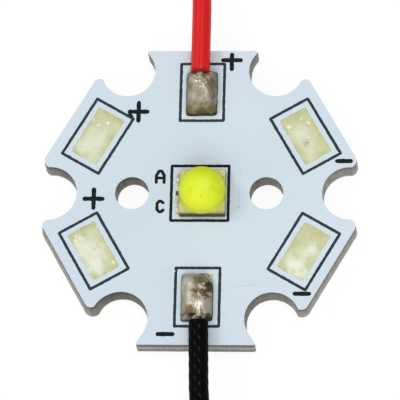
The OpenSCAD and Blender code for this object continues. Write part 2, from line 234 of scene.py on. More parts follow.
def closed_sheet(verts, rows, cols, z, uvs=None):
    """Faces of a grid, of walls down from its rim and of a flat underside, whose points it adds."""
    rim = list(range(cols)) + [r * cols + cols - 1 for r in range(1, rows)]
    rim += [(rows - 1) * cols + c for c in range(cols - 2, -1, -1)]
    rim += [r * cols for r in range(rows - 2, 0, -1)]
    start, n = len(verts), len(rim)
    verts.extend((verts[i][0], verts[i][1], z) for i in rim)
    if uvs is not None:
        uvs.extend(uvs[i] for i in rim)
    faces = grid_faces(rows, cols)
    faces += [(rim[i], rim[(i + 1) % n], start + (i + 1) % n, start + i) for i in range(n)]
    faces.append(tuple(range(start, start + n)))
    return faces


# Materials


class Look:
    """A material and short calls for its nodes. Lengths are in millimetres."""

    def __init__(self, name, colour, rough, metal=0.0, specular=0.5):
        self.mat = bpy.data.materials.new(name)
        self.mat.use_nodes = True
        self.tree = self.mat.node_tree
        self.shader = self.tree.nodes["Principled BSDF"]
        for key, value in (("Base Color", shade(colour)), ("Roughness", rough), ("Metallic", metal),
                           ("Specular IOR Level", specular)):
            self.shader.inputs[key].default_value = value
        self.place = self.add("TexCoord")["Object"]

    def add(self, kind, inputs=None, **settings):
        """Makes a node, sets it up and gives its outputs."""
        node = self.tree.nodes.new("ShaderNode" + kind)
        for key, value in settings.items():
            setattr(node, key, value)
        for key, value in (inputs or {}).items():
            self.feed(value, node.inputs[key])
        return node.outputs

    def feed(self, value, socket):
        if isinstance(value, bpy.types.NodeSocket):
            self.tree.links.new(value, socket)
        else:
            socket.default_value = value

    def colour(self, value):
        self.feed(value, self.shader.inputs["Base Color"])

    def rough(self, value):
        self.feed(value, self.shader.inputs["Roughness"])

    def bump(self, height, depth):
        relief = self.add("Bump", {"Height": height, "Distance": depth * MM, "Strength": 1.0})
        self.feed(relief["Normal"], self.shader.inputs["Normal"])

    def uv(self):
        return self.add("UVMap", uv_map="along")["UV"]

    def stretched(self, x, y, z, vector=None):
        return self.add("Mapping", {"Vector": vector or self.place, "Scale": (x, y, z)})["Vector"]

    def noise(self, size, detail=3.0, rough=0.55, vector=None, unit=MM):
        inputs = {"Vector": vector or self.place, "Scale": 1 / (size * unit), "Detail": detail}
        return self.add("TexNoise", {**inputs, "Roughness": rough})["Fac"]

    def speckle(self, size):
        return self.add("TexVoronoi", {"Vector": self.place, "Scale": 1 / (size * MM)})["Distance"]

    def ramp(self, value, *stops):
        """Colours or grey levels at given values."""
        colour = self.add("ValToRGB", {"Fac": value})["Color"]
        band = colour.node.color_ramp
        while len(band.elements) < len(stops):
            band.elements.new(0.5)
        for element, (at, level) in zip(band.elements, stops):
            element.position = at
            element.color = shade(level)
        return colour

    def fade(self, value, low, high):
        """From one colour or grey level to another over the usual range of noise."""
        return self.ramp(value, (0.3, low), (0.7, high))

    def math(self, kind, a, b=0.0):
        return self.add("Math", {0: a, 1: b}, operation=kind)[0]

    def times(self, a, b):
        return self.math("MULTIPLY", a, b)

    def jogged(self, value, cloud, reach):
        """A value that noise pushes up and down."""
        return self.math("ADD", value, self.times(self.math("SUBTRACT", cloud, 0.5), reach))

    def vector(self, kind, a, b):
        return self.add("VectorMath", {0: a, 1: b}, operation=kind)

    def axis(self, name, vector=None):
        return self.add("SeparateXYZ", {"Vector": vector or self.place})[name]

    def between(self, value, low, high):
        """0 at one value and 1 at another."""
        return self.add("MapRange", {"Value": value, "From Min": low, "From Max": high})["Result"]

    def level(self, low, high, name="Z"):
        """0 at one height and 1 at another, or the same along another axis."""
        return self.between(self.axis(name), low * MM, high * MM)

    def mix(self, fac, a, b, blend="MIX"):
        inputs = {"Factor": fac, 6: shade(a), 7: shade(b)}
        return self.add("Mix", inputs, data_type="RGBA", blend_type=blend)[2]

    def shaken(self, size, reach):
        """Places moved about by noise, for patches with uneven edges."""
        cloud = self.add("TexNoise", {"Vector": self.place, "Scale": 1 / (size * MM), "Detail": 3.0})
        off = self.vector("SUBTRACT", cloud["Color"], (0.5, 0.5, 0.5))[0]
        return self.vector("ADD", self.place, self.vector("MULTIPLY", off, (reach * MM,) * 3)[0])[0]

    def near(self, x, y, inner, outer, vector=None):
        """1 within a distance of a point of the board, falling to 0 further out."""
        flat = self.vector("MULTIPLY", vector or self.place, (1, 1, 0))[0]
        apart = self.vector("DISTANCE", flat, (x * MM, y * MM, 0))["Value"]
        limits = {"From Min": inner * MM, "From Max": outer * MM, "To Min": 1.0, "To Max": 0.0}
        return self.add("MapRange", {"Value": apart, **limits}, interpolation_type="SMOOTHSTEP")["Result"]

    def spot(self, tone, other, x, y, inner, outer, share, vector=None):
        """A tone with a soft patch of another one on it."""
        return self.mix(self.times(self.near(x, y, inner, outer, vector), share), tone, other)


def mask_look():
    look = Look("white_mask", (206, 222, 232), 0.42, specular=0.35)
    tint = look.fade(look.noise(6, 2), (203, 220, 230), (210, 224, 233))
    tint = look.mix(look.near(0, 0, 6, 13), (210, 223, 236), tint)
    specks = look.ramp(look.speckle(0.9), (0.02, 0.0), (0.035, 1.0))
    rare = look.ramp(look.noise(2.2, 0), (0.66, 1.0), (0.7, 0.0))
    tint = look.mix(look.math("MAXIMUM", specks, rare), (168, 178, 182), tint)
    look.colour(look.mix(look.near(2.51, -0.93, 0.02, 0.07), tint, (138, 152, 152)))
    look.rough(look.fade(look.noise(0.8, 4), 0.36, 0.5))
    look.bump(look.noise(0.5, 3), 0.004)
    return look.mat


def wall_look(name, metal, bands, hollow=None):
    """Cut metal: tones by height through the board, with painted light and shade among them, and faint
    drag marks up the wall.

    hollow has the tones of the notches and holes: darker than the flats as painted shade of the hollows,
    and lighter towards +X as painted light."""
    look = Look(name, bands[1][1], 0.5, metal, 0.35)
    drag = look.noise(0.2, 4, vector=look.stretched(1, 1, 0.16))
    height = look.jogged(look.level(0.0, BASE_T), look.noise(1.2, 3), 0.16)
    tone = look.ramp(height, *bands)
    if hollow:
        # Painted light: the walls of the notches and holes grow lighter towards +X.
        bright = look.times(look.level(2, 8, "X"), 0.42)
        inner = look.mix(bright, look.ramp(height, *hollow), (178, 177, 168))
        tone = look.mix(look.axis("X", look.uv()), inner, tone)
    look.colour(look.mix(0.25, tone, look.fade(drag, 0.36, 0.64), "OVERLAY"))
    look.rough(look.fade(drag, 0.58, 0.42))
    look.bump(drag, 0.006)
    return look.mat


def under_look():
    look = Look("underside_metal", (186, 187, 186), 0.4, 0.85)
    brush = look.noise(0.12, 4, vector=look.stretched(0.06, 1, 1))
    tone = look.fade(brush, (168, 169, 168), (204, 205, 204))
    look.colour(look.mix(look.times(look.noise(3, 3), 0.5), tone, (174, 172, 166)))
    look.rough(look.fade(brush, 0.5, 0.34))
    look.bump(brush, 0.006)
    return look.mat


def tin_look():
    """Tinned pad: pale in the middle, darker and yellower towards its sides as painted shade where the
    coat slopes down, with soft patches and bright flecks that are painted glints.
    """
    look = Look("tin", (210, 214, 188), 0.44, 0.1, 0.22)
    rim = look.math("MAXIMUM", *(look.math("ABSOLUTE", look.axis(name, look.uv())) for name in "XY"))
    cloud = look.noise(0.8, 3, 0.5)
    rim = look.jogged(rim, cloud, 1.1)
    # Darker and yellower towards the rim: painted shade where the coat slopes down to the mask.
    tone = look.ramp(rim, (0.4, (206, 210, 174)), (0.75, (202, 205, 162)), (1.0, (190, 193, 138)))
    tone = look.mix(look.times(look.level(2, 8, "X"), 0.5), tone, (194, 197, 142))
    uneven, torn = look.shaken(0.6, 1.5), look.shaken(0.14, 0.4)
    for patch in PALE:
        tone = look.spot(tone, (234, 237, 219), *patch, uneven)
    # Painted glints on the tin.
    for x, y, r in TIN_GLINTS:
        tone = look.spot(tone, (248, 247, 220), x, y, 0.3 * r, 1.5 * r, 0.9, torn)
    tone = look.mix(0.4, tone, look.fade(look.noise(0.25, 4), 0.4, 0.6), "OVERLAY")
    broken = look.ramp(look.noise(0.1, 2), (0.46, 0.0), (0.58, 0.8))
    for scar in SCARS:
        tone = look.spot(tone, (112, 112, 92), *scar, broken)
    look.colour(tone)
    look.rough(look.fade(cloud, 0.52, 0.38))
    look.bump(look.noise(0.3, 3), 0.006)
    return look.mat


def land_look():
    look = Look("land_solder", (200, 196, 172), 0.5, 0.2)
    patch = look.noise(0.22, 3)
    tone = look.ramp(patch, (0.36, (180, 182, 150)), (0.5, (206, 210, 180)), (0.62, (238, 242, 224)))
    # Painted shade: darker where the solder rises against the carrier's side.
    look.colour(look.mix(look.level(PAD_Z + 0.07, PAD_Z + 0.14), tone, (88, 82, 46)))
    look.rough(look.fade(patch, 0.55, 0.4))
    look.bump(patch, 0.015)
    return look.mat


def solder_look(name, dull, mid, bright, shine, stains_and_highlights):
    """Solder: dull and bright patches, a painted dark reflection low down at its edges, a shiny place,
    and spots, mostly of flux with a few painted highlights.
    """
    look = Look(name, mid, 0.5, 0.75)
    patch = look.noise(0.6, 3, 0.5)
    fine = look.noise(0.14, 3)
    tone = look.ramp(patch, (0.3, dull), (0.5, mid), (0.68, bright))
    uneven = look.shaken(0.35, 1.1)
    for *at, share, other in stains_and_highlights:
        broken = look.ramp(fine, (0.3, 0.7 * share), (0.62, share))
        tone = look.spot(tone, other, *at, broken, uneven)
    # Painted dark reflection: dark low down, along the edges of the joint.
    low_dark_reflection = look.jogged(look.level(PAD_Z + 0.12, PAD_Z + 0.5), fine, 0.9)
    look.colour(look.mix(look.ramp(low_dark_reflection, (0.2, 0.0), (0.7, 1.0)), (46, 40, 28), tone))
    look.rough(look.mix(look.near(*shine, uneven), look.fade(patch, 0.6, 0.46), 0.36))
    look.bump(look.math("ADD", patch, look.times(fine, 0.3)), 0.03)
    return look.mat


def dome_look():
    look = Look("phosphor_silicone", (226, 243, 52), 0.5, specular=0.14)
    cloud = look.noise(0.6, 2)
    tone = look.ramp(cloud, (0.32, (213, 232, 34)), (0.55, (220, 238, 54)), (0.72, (227, 242, 84)))
    grain = look.ramp(look.speckle(0.12), (0.0, (202, 221, 34)), (0.16, (220, 238, 54)))
    tone = look.mix(0.2, tone, grain)
    # Painted shade: darker on the side towards +Y.
    tone = look.mix(look.level(0.4, 1.2, "Y"), tone, (204, 218, 6))
    # Painted light: brighter on the side towards -Y.
    tone = look.mix(look.level(-0.5, -1.3, "Y"), tone, (236, 253, 58))
    # The first mark, pale, is a painted highlight; then come two darker marks and a small dark dot.
    marks = (((227, 241, 84), 0.44, -0.15, 0.2, 0.62), ((208, 226, 26), -0.45, -0.44, 0.04, 0.26),
             ((210, 228, 26), 0.96, -0.3, 0.04, 0.28), ((170, 184, 30), 0.24, -0.86, 0.02, 0.06))
    for mark in marks:
        tone = look.spot(tone, *mark, 0.75)
    look.colour(look.mix(look.level(DIE_Z, DIE_Z + 0.1), (196, 190, 116), tone))
    inputs = look.shader.inputs
    look.feed(look.times(look.level(DIE_Z + 0.05, DIE_Z + 0.3), 0.85), inputs["Subsurface Weight"])
    inputs["Subsurface Radius"].default_value = (1.0, 1.0, 0.3)
    inputs["Subsurface Scale"].default_value = 1.4 * MM
    look.bump(look.noise(0.3, 2), 0.008)
    return look.mat


def ceramic_look():
    look = Look("ceramic", (218, 207, 166), 0.55, specular=0.3)
    grain = look.noise(0.12, 4)
    tone = look.ramp(grain, (0.3, (192, 186, 128)), (0.6, (214, 208, 152)))
    # Yellower within reach of the dome, cream at the corners: the yellow is partly phosphor on the
    # ceramic and partly painted yellow light from the dome.
    tone = look.mix(look.near(LED_X, LED_Y, 1.62, 2.05), (216, 206, 164), tone)
    # Painted shade: darker towards the front edge.
    tone = look.mix(look.level(-1.2, -1.52, "Y"), tone, (176, 172, 112))
    # Painted shade: the side walls are dark, darkest at the bottom where they meet the board.
    side = look.level(DIE_Z - 0.07, DIE_Z - 0.015)
    dark = look.mix(look.level(CARRIER_Z, DIE_Z - 0.1), (52, 50, 20), (98, 95, 44))
    look.colour(look.mix(side, dark, tone))
    look.bump(grain, 0.008)
    return look.mat


def grain_look(name, tones, size, rough, metal=0.0, specular=0.5, depth=0.01, detail=4.0, fine=0.55):
    """Tones of one material, mixed by fine noise that also sets its relief, and its gloss from a pair."""
    look = Look(name, tones[1][1], rough[0], metal, specular)
    grain = look.noise(size, detail, fine)
    look.colour(look.ramp(grain, *tones))
    if len(rough) > 1:
        look.rough(look.fade(grain, *rough))
    look.bump(grain, depth)
    return look.mat


def print_look(name, low, mid, high):
    tones = (0.3, low), (0.62, mid), (0.8, high)
    return grain_look(name, tones, 0.07, (0.6,), specular=0.15, depth=0.004, detail=3.0)


def plain_look(name, low, high, size, rough, metal=0.0):
    return grain_look(name, ((0.3, low), (0.7, high)), size, (rough + 0.08, rough - 0.06), metal)


def insulation_look(name, low, high, rough, streaks, specular, burnt, depth, ridge=None):
    """Drawn plastic: fine lengthwise lines, an end darkened by the iron, and ridges with shiny crests."""
    look = Look(name, high, rough, specular=specular)
    line = look.noise(1, 3, vector=look.stretched(streaks, 0.25, 1, look.uv()), unit=1)
    fine = look.noise(0.09, 3)
    around, run = (look.axis(name, look.uv()) for name in "XY")
    fresh = look.between(look.jogged(run, look.noise(0.3, 2), 0.4), 0.04, 0.3)
    look.colour(look.mix(fresh, burnt, look.fade(line, low, high)))
    gloss = look.fade(fine, rough - 0.04, rough + 0.05)
    if ridge:
        count, lay = ridge
        turn = look.math("SUBTRACT", look.times(around, count), look.times(run, count / lay))
        crest = look.math("ABSOLUTE", look.math("SUBTRACT", look.math("FRACT", turn), 0.5))
        gloss = look.mix(look.ramp(crest, (0.3, 1.0), (0.42, 0.0)), gloss, 0.62)
    look.rough(gloss)
    look.bump(look.math("ADD", line, look.times(fine, 0.4)), depth)
    return look.mat


MASK = mask_look()
# Painted highlight: the light line along the foot of every wall. The walls darken towards the top. The
# second list, for the notches and holes, is darker all over: painted shade of the hollows.
CUT_WALL = wall_look("cut_wall", 0.32, [
    (0.0, (168, 166, 157)), (0.1, (182, 180, 171)), (0.2, (153, 150, 140)),
    (0.75, (141, 138, 127)), (1.0, (106, 103, 92))], [
    (0.0, (144, 141, 130)), (0.1, (126, 123, 112)), (0.22, (95, 92, 81)),
    (0.7, (85, 82, 70)), (1.0, (62, 59, 48))])
# On the scored flats the pale band high up is painted light, as from above on the score's upper slope,
# and the dark bands below it are painted shade.
SCORED_WALL = wall_look("scored_flat", 0.35, [
    (0.0, (92, 91, 86)), (0.14, (96, 94, 88)), (0.22, (122, 121, 116)),
    (0.46, (114, 113, 108)), (0.54, (104, 102, 97)), (0.62, (170, 169, 163)),
    (0.8, (160, 158, 152)), (0.92, (116, 113, 106))])
UNDER = under_look()
PRINT = print_look("black_print", (12, 16, 19), (20, 25, 28), (48, 56, 60))
THIN_PRINT = print_look("thin_print", (36, 46, 51), (47, 58, 63), (70, 82, 87))
TIN = tin_look()
CERAMIC = ceramic_look()
DOME = dome_look()
COPPER = plain_look("copper", (170, 104, 62), (206, 140, 92), 0.2, 0.35, 1.0)
DIELECTRIC = plain_look("dielectric", (78, 74, 60), (104, 98, 82), 0.2, 0.6)
GOLD = plain_look("gold_metal", (206, 170, 92), (232, 204, 140), 0.15, 0.3, 1.0)
CHIP = plain_look("chip", (200, 196, 70), (226, 222, 104), 0.1, 0.3)
TINNED = plain_look("tinned_copper", (168, 164, 152), (206, 203, 192), 0.12, 0.3, 1.0)
LAND = land_look()
TIE = plain_look("tie", (222, 221, 214), (238, 237, 231), 0.3, 0.6)
# Burnt flux: dark brown runs, olive where it is thin
FLUX = grain_look(
    "flux", ((0.32, (46, 31, 12)), (0.5, (84, 60, 25)), (0.64, (122, 98, 50)), (0.78, (150, 132, 84))),
    0.15, (0.2, 0.36), depth=0.03, detail=3.0, fine=0.6)
RED = insulation_look("red_insulation", (210, 18, 20), (224, 26, 28), 0.36, 14, 0.2, (146, 14, 14), 0.006)
BLACK = insulation_look(
    "black_insulation", (3, 3, 6), (7, 7, 12), 0.2, 9, 0.045, (5, 4, 5), 0.001, BLACK_RIDGE)


# Board


WALL_CUT, WALL_SCORED, UNDERSIDE = range(3)


def corner_of(k, side):
    """One corner of arm k: flat, radius, centre, last angle of its arc, first angle of the notch.

    The last value says whether arc and notch meet in one point."""
    r, mouth = CORNERS.get((k, side), (SCORED_CORNER_R if k in SCORED else CORNER_R, MOUTH_HALF))
    flat = FLATS[k]
    u = flat - r
    c, s = polar(30)
    v = (u * s - mouth - r) / c

    def from_notch(a):
        c, s = polar(a)
        x, y = turned(u + r * c, v + r * s, -30)
        return x - NOTCH_AT, y

    if math.hypot(*from_notch(120)) > NOTCH_R:
        return flat, r, u, v, 120.0, math.degrees(math.asin(mouth / NOTCH_R)), False
    low, high = 60.0, 120.0
    for _ in range(40):
        mid = (low + high) / 2
        low, high = (mid, high) if math.hypot(*from_notch(mid)) > NOTCH_R else (low, mid)
    x, y = from_notch(low)
    return flat, r, u, v, low, abs(math.degrees(math.atan2(y, x))), True


def star_loop():
    """The board's outline anticlockwise: points, outward normals, how far on a scored flat, kind of wall.

    The other lists are 1 on the scored arms, whose edges are crisp, how far the wall leans in, and 1 on
    flats. They fade in the notches."""
    rows = []

    def put(arm, x, y, nx, ny, flag=0.0, keen=0.0, lean=0.0, flat=1.0):
        px, py = turned(x, y, arm)
        wall = WALL_SCORED if flag > 0.6 else WALL_CUT
        rows.append(((px + OUTLINE_X, py), turned(nx, ny, arm), flag, wall, keen, lean, flat))

    arc, run, round_steps, fade = 15, 24, 64, 12
    for k in range(6):
        arm, after = 30 + 60 * k, (k + 1) % 6
        flag = 1.0 if k in SCORED else 0.0
        lean, next_lean = LEANS.get(k, 0.0), LEANS.get(after, 0.0)
        flat, r0, u0, v0, last0, _, _ = corner_of(k, -1)
        _, r, u, v, last, mouth, shared = corner_of(k, 1)
        _, _, _, _, _, next_mouth, next_shared = corner_of(after, -1)

        def turn(a, r, x, y):
            c, s = polar(a)
            share = 1 - 0.4 * smoothstep(10, 90, abs(a))
            put(arm, x + r * c, y + r * s, c, s, flag * max(c, 0), flag, lean, share)

        for i in range(arc + 1):
            turn(-last0 * (1 - i / arc), r0, u0, -v0)
        for i in range(1, run):
            put(arm, flat, -v0 + (v + v0) * i / run, 1, 0, flag, flag, lean)
        for i in range(arc + 1):
            turn(last * i / arc, r, u, v)
        for i in range(1 if shared else 0, round_steps + (0 if next_shared else 1)):
            c, s = polar(-mouth - (360 - mouth - next_mouth) * i / round_steps)
            one, two = max(1 - i / fade, 0.0), max(1 - (round_steps - i) / fade, 0.0)
            keen = max(flag * one, (after in SCORED) * two)
            put(arm + 30, NOTCH_AT + NOTCH_R * c, NOTCH_R * s, -c, -s, 0.0, keen,
                max(lean * one, next_lean * two), 0.6 * max(one, two))
    return list(zip(*rows))


def hole_loop(side, steps=96):
    rows = []
    for i in range(steps):
        c, s = polar(-360 * i / steps)
        at = (side * HOLE_X + OUTLINE_X + HOLE_R * c, HOLE_R * s)
        rows.append((at, (-c, -s), 0.0, WALL_CUT, 0.0, 0.0, 0.0))
    return list(zip(*rows))


def rounded(corners, r):
    """Points of a closed outline with its corners rounded."""
    out = []
    corners = [Vector(p) for p in corners]
    for p, q, o in zip(corners[-1:] + corners, corners, corners[1:] + corners[:1]):
        a, b = q + (p - q).normalized() * r, q + (o - q).normalized() * r
        for t in (0.0, 0.25, 0.5, 0.75, 1.0):
            out.append(a * (1 - t) ** 2 + q * 2 * t * (1 - t) + b * t ** 2)
    return out


def spaced(points, step):
    """Points about a step apart along a polyline, all but its last."""
    out = []
    for p, q in zip(points, points[1:]):
        n = max(int((q - p).length / step), 1)
        out += [p + (q - p) * i / n for i in range(n)]
    return out


def box_loop(box, corner, seed, rough):
    """Window in the mask from its corners, which are rounded, with uneven sides."""
    turns = rounded(box, corner)
    at = spaced(turns + turns[:1], 0.08)
    loop = []
    for i, p in enumerate(at):
        along = (at[(i + 1) % len(at)] - at[i - 1]).normalized()
        push = rough * wave(seed, p.x * 3.2, p.y * 3.2)
        loop.append((p.x + along.y * push, p.y - along.x * push))
    return loop


def square_corners(left, right, half):
    return [(right, half), (left, half), (left, -half), (right, -half)]


def pad_corners(pad, grow=0.0):
    at, angle, depth, length = pad
    d, w = depth / 2 + grow, length / 2 + grow
    return [turned(at + x, y, angle) for x, y in square_corners(-d, d, w)]


STAR = star_loop()
HOLES = [hole_loop(-1), hole_loop(1)]


def filled(loops):
    """Triangles between closed loops of points, as indices into the points of all loops in turn."""
    points = [Vector(p) for loop in loops for p in loop]
    edges, start = [], 0
    for loop in loops:
        n = len(loop)
        edges += [(start + i, start + (i + 1) % n) for i in range(n)]
        start += n
    made, _, faces, origin, _, _ = delaunay_2d_cdt(points, edges, [], 0, 1e-7)
    made, faces = np.array(made), np.array([f for f in faces if len(f) == 3])
    x, y = made[faces].mean(axis=1).T[:, :, None]
    (ax, ay), (bx, by) = (np.array([points[e[i]] for e in edges]).T for i in (0, 1))
    reach = ax + (y - ay) * (bx - ax) / np.where(by == ay, 1, by - ay)
    inside = (((ay > y) != (by > y)) & (x < reach)).sum(axis=1) % 2 == 1
    if any(not origin[v] for face in faces[inside] for v in face):
        raise ValueError("the loops cross")
    return [[origin[v][0] for v in face] for face in faces[inside]]


def layer(name, rings, slot, mats, nodes, windows=(), wobble=0.0, score=False, ease=(1.0, 1.0), skew=0.0):
    """A layer of the board from rings of (height, offset), capped at both ends, with windows cut through.

    ease scales the offsets on the scored arms and in the holes, skew takes them off towards +Y."""
    verts, faces, kinds, uvs = [], [], [], []
    ends = {UNDERSIDE: [], WALL_CUT: []}

    def ring_of(loop, z, offset):
        out = []
        share = 1.0 if loop is STAR else ease[1]
        for (x, y), (nx, ny), flag, _, keen, lean, _ in zip(*loop):
            push = offset * (share + (ease[0] - 1.0) * keen) * (1 - skew * (0.5 + 0.5 * ny))
            push += wobble * wave(3, x * 1.7, y * 1.7, z * 0.8) + lean * (0.2 - min(z / BASE_T, 1.0))
            if score:
                push += flag * SCORE_WIDTH * min(max(min(z, BASE_T - z) / SCORE_DEPTH, 0.0), 1.0)
            out.append((x + nx * push, y + ny * push, z))
        return out

    stacks = []
    for loop in (STAR, *HOLES):
        stacks.append(([ring_of(loop, z, offset) for z, offset in rings], loop[3], loop[6]))
    for window in windows:
        stack = [[(x, y, z) for x, y in window] for z in (rings[0][0], rings[-1][0])]
        stacks.append((stack, [WALL_CUT] * len(window), [1.0] * len(window)))
    for stack, walls, flat in stacks:
        start, cols = len(verts), len(stack[0])
        for ring in stack:
            verts.extend(ring)
            uvs.extend((share, 0.0) for share in flat)
        faces += grid_faces(len(stack), cols, True, start)
        kinds += list(walls) * (len(stack) - 1)
        ends[UNDERSIDE].append(range(start, start + cols))
        ends[WALL_CUT].append(range(len(verts) - cols, len(verts)))
    walls = len(faces)
    for kind, loops in ends.items():
        index = [i for loop in loops for i in loop]
        caps = filled([[verts[i][:2] for i in loop] for loop in loops])
        faces += [tuple(index[i] for i in f) for f in caps]
        kinds += [kind] * len(caps)
    parts = kinds if len(mats) > 1 else None
    obj = piece(name, verts, faces, mats, nodes, sharp=50, uvs=uvs, parts=parts)
    obj.data.polygons.foreach_set("use_smooth", [i < walls for i in range(len(faces))])


base_rings = [(0.0, 0.02), (0.02, 0.046), (0.06, 0.06), (0.14, 0.064), (0.24, 0.054), (0.4, 0.044),
              (0.75, 0.034), (1.1, 0.018), (1.3, 0.0), (1.4, -0.012), (BASE_T, -0.03)]
layer("board_base", base_rings, "base_aluminium", [CUT_WALL, SCORED_WALL, UNDER], ["aluminium_base"],
      wobble=0.01, score=True, ease=(0.3, 0.3))
layer("board_dielectric", [(BASE_T, -0.03), (COPPER_Z, -0.03)], "dielectric", [DIELECTRIC],
      ["dielectric_layer"])
windows = [box_loop(pad_corners(p), 0.16, 10 * i, 0.05) for i, p in enumerate(TINNED_PADS.values())]
windows.append(box_loop(square_corners(LAND_LEFT, LAND_RIGHT, LAND_HALF), 0.08, 77, 0.015))
mask_rings = [(COPPER_Z, -0.036), (1.57, -0.036), (1.588, -0.044), (1.597, -0.058), (MASK_Z, -0.078)]
layer("board_mask", mask_rings, "white_mask", [MASK], ["solder_mask"], windows, ease=(0.3, 0.5), skew=1.0)
dress(COPPER, "anode_copper", "cathode_copper", "heat_copper")


# Print


def ink(name, strokes, nodes=(), width=LINE_W, closed=False, rough=0.012, seed=0, mat=PRINT,
        high=1.0):
    """Low domed strips with uneven sides and round ends, for printed lines and the mask's relief."""
    verts, faces = [], []
    across = (-1.0, -0.8, -0.4, 0.0, 0.4, 0.8, 1.0)
    height = (0.0, 0.011, 0.015, 0.016, 0.015, 0.011, 0.0)
    for number, stroke in enumerate(strokes):
        at = [Vector(p) for p in stroke]
        if closed:
            at.append(at[0])
        samples = spaced(at, 0.05)
        if not closed:
            samples.append(at[-1])
        n = len(samples)
        rows = []
        for i, p in enumerate(samples):
            before = samples[i - 1] if closed or i else p
            after = samples[(i + 1) % n] if closed or i < n - 1 else p
            along = (after - before).normalized()
            side = Vector((-along.y, along.x))
            bend = 1.0
            if closed:
                one, two = (p - before).normalized(), (after - p).normalized()
                bend = 1 / max(math.sqrt((1 + one.dot(two)) / 2), 0.72)
            half = width / 2 * bend * (1 + 0.16 * wave(seed + number, p.x * 6, p.y * 6))
            shift = rough * wave(seed + number + 5, p.x * 4, p.y * 4)
            rows.append((p + side * shift, side, half, 1.0))
        if not closed:
            for (p, side, half, _), sign in ((rows[0], -1), (rows[-1], 1)):
                along = Vector((side.y, -side.x)) * sign
                caps = []
                for c, s in map(polar, (25, 50, 70, 84)):
                    caps.append((p + along * half * s, side, half * c, 0.4 + 0.6 * c))
                rows = rows + caps if sign > 0 else caps[::-1] + rows
        start, cols, count = len(verts), len(across), len(rows)
        for p, side, half, lift in rows:
            for x, z in zip(across, height):
                q = p + side * (half * x)
                verts.append((q.x, q.y, MASK_Z - 0.002 * high + z * lift * high))
        if closed:
            faces += grid_faces(count, cols, True, start, True)
        else:
            faces += capped_tube(count, cols, start)
    piece(name, verts, faces, [mat], nodes, sharp=60)


for i, (name, pad) in enumerate(PADS.items()):
    outline = rounded(pad_corners(pad, FRAME_GAP), FRAME_CORNER)
    ink(f"{name}_frame_print", [outline], [f"{name}_pad_frame"], closed=True, seed=20 + i, mat=THIN_PRINT)
led_frame = square_corners(-LED_FRAME_HALF, LED_FRAME_HALF, LED_FRAME_HALF)
ink("led_frame_print", [rounded(led_frame, FRAME_CORNER)], ["led_frame"], closed=True, seed=40)


def plus(x, y, top=9.0):
    across, along = 0.715 - SIGN_W / 2, 0.76 - SIGN_W / 2
    return [[(x - across, y), (x + across, y)], [(x, y - along), (x, min(y + along, top))]]


signs = plus(-4.14, 5.58) + plus(1.88, 9.15, 9.52) + plus(-6.87, -0.39)
for x0, x1, y in ((8.66, 9.84, 2.19), (6.06, 7.26, -6.71), (-2.6, -1.38, -9.41)):
    signs.append([(x0 + SIGN_W / 2, y), (x1 - SIGN_W / 2, y)])
ink("polarity_signs", signs, width=SIGN_W, rough=0.008, seed=60)
ink("ink_run", [[(-4.72, 5.44), (-4.56, 5.22)]], width=0.2, seed=66)
letter_a = [[(-2.85, 0.74), (-2.85, 1.2), (-2.68, 1.5), (-2.51, 1.5), (-2.34, 1.2), (-2.34, 0.74)],
            [(-2.85, 1.03), (-2.34, 1.03)]]
letter_c = [[(-2.36, -0.66), (-2.49, -0.55), (-2.63, -0.55), (-2.75, -0.7), (-2.75, -1.1), (-2.63, -1.26),
             (-2.49, -1.26), (-2.36, -1.15)]]
ink("terminal_letters", letter_a + letter_c, width=0.215, rough=0.006, seed=70)

# Edges of the copper that show through the mask
relief = [[(2.58, 1.5), (2.58, -1.75)], [(2.1, -6.28), (5.0, -6.14)],
          [(2.05, -7.87), (2.75, -7.27), (3.1, -6.9)], [(-3.1, -5.23), (-1.5, -5.23)]]
ink("copper_relief", relief, width=0.16, rough=0.01, seed=75, mat=MASK, high=1.2)


# Bare pads


def pad_skin(name, pad, nodes, seed, high=0.03):
    """Tin coat on a pad: a low uneven pillow that fills its window."""
    at, angle, depth, length = pad
    rows, cols, lap = 57, 37, 0.09
    verts, uvs = [], []
    for s, t in spread(rows, cols):
        x, y = s * (depth / 2 + lap), t * (length / 2 + lap)
        crown = (1 - abs(s) ** 6) * (1 - abs(t) ** 8)
        uneven = 1 + 0.5 * wave(seed, x * 0.8, y * 0.8) + 0.12 * wave(seed + 4, x * 2.6, y * 2.6)
        verts.append((*turned(at + x, y, angle), PAD_Z + 0.002 + high * crown * uneven))
        uvs.append((s, t))
    faces = closed_sheet(verts, rows, cols, COPPER_Z, uvs)
    piece(name, verts, faces, [TIN], nodes, sharp=70, uvs=uvs)


for i, name in enumerate(SIDE_PADS):
    pad_skin(f"{name}_tin", TINNED_PADS[name], [f"{name}_pad_tin"], 80 + 7 * i)
for i, name in enumerate(("top", "bottom")):
    pad_skin(f"{name}_tin", TINNED_PADS[name], [], 61 + 7 * i, 0.012)


# Solder joints of the leads


def joint_z(pad, seed, lead_b, a, b):
    """Top of a joint at a distance a from the board's middle and b off its pad's middle line."""
    at, _, depth, length = pad
    s, t = b / (length / 2), (a - at) / (depth / 2)
    across = max(1 - abs(s) ** 2.4, 0.0) ** 0.5
    inner = max(1 - abs(min(t, 0.0)) ** 4, 0.0) ** 0.5
    outer = max(1 - max(t, 0.0) ** 5, 0.0) ** 0.5
    outer = max(outer, math.exp(-((b - lead_b) / 0.36) ** 4))
    uneven = 0.035 * wave(seed, a * 1.3, b * 1.3) + 0.012 * wave(seed + 3, a * 4, b * 4)
    strand = math.cos(b * 38 + a * 5) * smoothstep(0.1, 0.7, t) * math.exp(-((b - lead_b) / 0.4) ** 2)
    return PAD_Z + 0.01 + across * inner * outer * (0.94 + uneven + 0.003 * strand)


